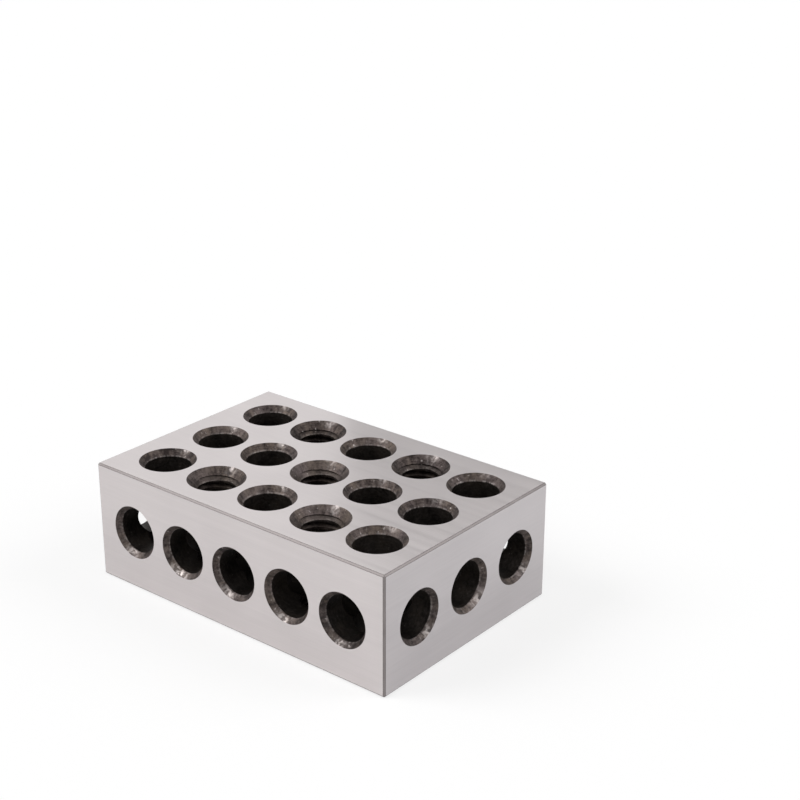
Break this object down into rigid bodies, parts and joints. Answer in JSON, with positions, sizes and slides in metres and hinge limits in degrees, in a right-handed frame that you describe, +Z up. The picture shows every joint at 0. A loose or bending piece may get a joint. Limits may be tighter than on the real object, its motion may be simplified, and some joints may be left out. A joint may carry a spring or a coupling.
{
  "type": "machinist setup block",
  "caption": "Rectangular ground steel setup block with broken edges and a grid of countersunk through bores crossing on all three axes, some of them tapped.",
  "frame": {"origin": "centre of the bottom 3 x 2 in face", "axes": "+X along the 3 in length, +Y across the 2 in width, +Z up through the 1 in thickness"},
  "size_m": [0.0762, 0.0508, 0.0254],
  "materials": {
    "ground_steel": "surface ground to a satin grain, with darker as-cut countersinks and bores"
  },
  "bodies": {
    "root": {"setup_block": "ground_steel"}
  },
  "joints": []
}
